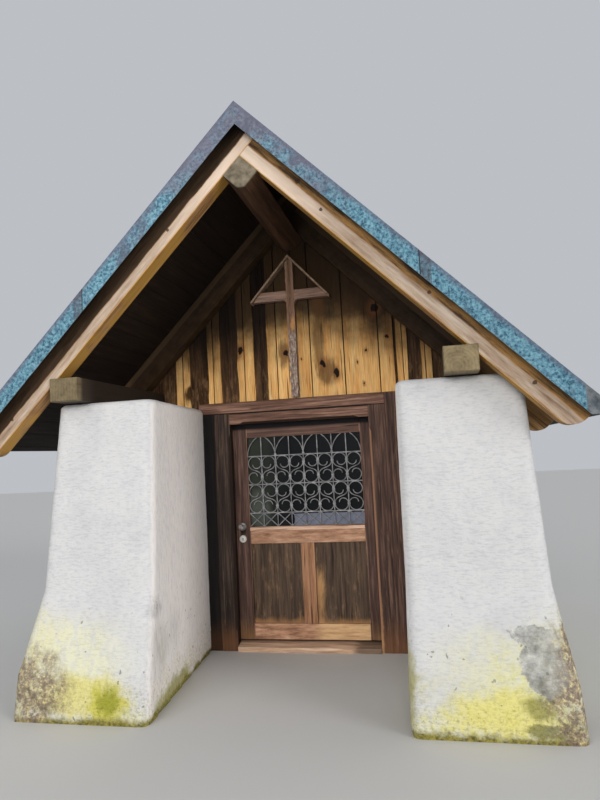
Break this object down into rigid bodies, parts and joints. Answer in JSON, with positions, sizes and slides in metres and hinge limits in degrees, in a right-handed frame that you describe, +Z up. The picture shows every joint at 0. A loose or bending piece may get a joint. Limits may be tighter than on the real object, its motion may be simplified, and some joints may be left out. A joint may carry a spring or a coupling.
{
  "type": "small chapel",
  "caption": "Small wayside chapel: white plastered walls run forward as wings, steep copper roof on heavy rafters over a porch, timber gable with a cross and a door with a scroll grille.",
  "frame": {"origin": "centre of the bounding box on the ground, inside the room's floor", "axes": "+X to the right as seen from the front, +Y from the porch to the back, +Z up"},
  "size_m": [3.748, 3.34, 3.5687],
  "materials": {
    "plaster": "rough white lime plaster on masonry, green algae and damp at the foot",
    "floor_stone": "rough grey stone",
    "roof_timber": "sawn softwood, weathered pale outside and dark inside",
    "gable_boards": "honey-brown waney-edged boards with dark bark strips",
    "roof_boarding": "dark sawn boarding",
    "door_frame_timber": "dark brown weathered timber",
    "door_leaf_timber": "brown timber, worn lighter on the rails",
    "cross_timber": "grey-brown weathered timber",
    "copper_patina": "sheet copper with a blue-green speckled patina",
    "window_glass": "clear window glass",
    "wrought_iron": "grey wrought iron, galvanised and dulled",
    "dark_metal": "dark forged metal",
    "bright_metal": "plain bright metal"
  },
  "bodies": {
    "chapel": {"left_wing_wall": "plaster", "right_wing_wall": "plaster", "left_side_wall": "plaster", "right_side_wall": "plaster", "rear_wall": "plaster", "floor": "floor_stone", "left_rafters": "roof_timber", "right_rafters": "roof_timber", "ridge_beam": "roof_timber", "left_wall_plate": "roof_timber", "right_wall_plate": "roof_timber", "front_gable": "gable_boards", "rear_gable": "gable_boards", "left_roof_boards": "roof_boarding", "right_roof_boards": "roof_boarding", "left_post": "door_frame_timber", "right_post": "door_frame_timber", "lintel": "door_frame_timber", "door_head": "door_frame_timber", "left_jamb": "door_frame_timber", "right_jamb": "door_frame_timber", "threshold": "door_frame_timber", "cross_upright": "cross_timber", "cross_arms": "cross_timber", "cross_roof": "cross_timber", "left_roof_sheet": "copper_patina", "right_roof_sheet": "copper_patina", "left_eaves_flashing": "copper_patina", "right_eaves_flashing": "copper_patina", "left_verge_flashing": "copper_patina", "right_verge_flashing": "copper_patina", "ridge_cap": "copper_patina", "frame_hinges": "dark_metal"},
    "door": {"door_stiles": "door_leaf_timber", "door_rails": "door_leaf_timber", "door_muntin": "door_leaf_timber", "door_panels": "door_leaf_timber", "window_sill": "door_leaf_timber", "door_glass": "window_glass", "door_grille": "wrought_iron", "door_knob": "dark_metal", "lock_rosette": "bright_metal", "door_hinges": "dark_metal"}
  },
  "joints": [
    {"name": "door_hinge", "type": "hinge", "parent": "chapel", "child": "door", "pos_m": [0.5615, -0.176, 0.9], "axis": [0, 0, -1], "range_deg": [0, 95]}
  ]
}
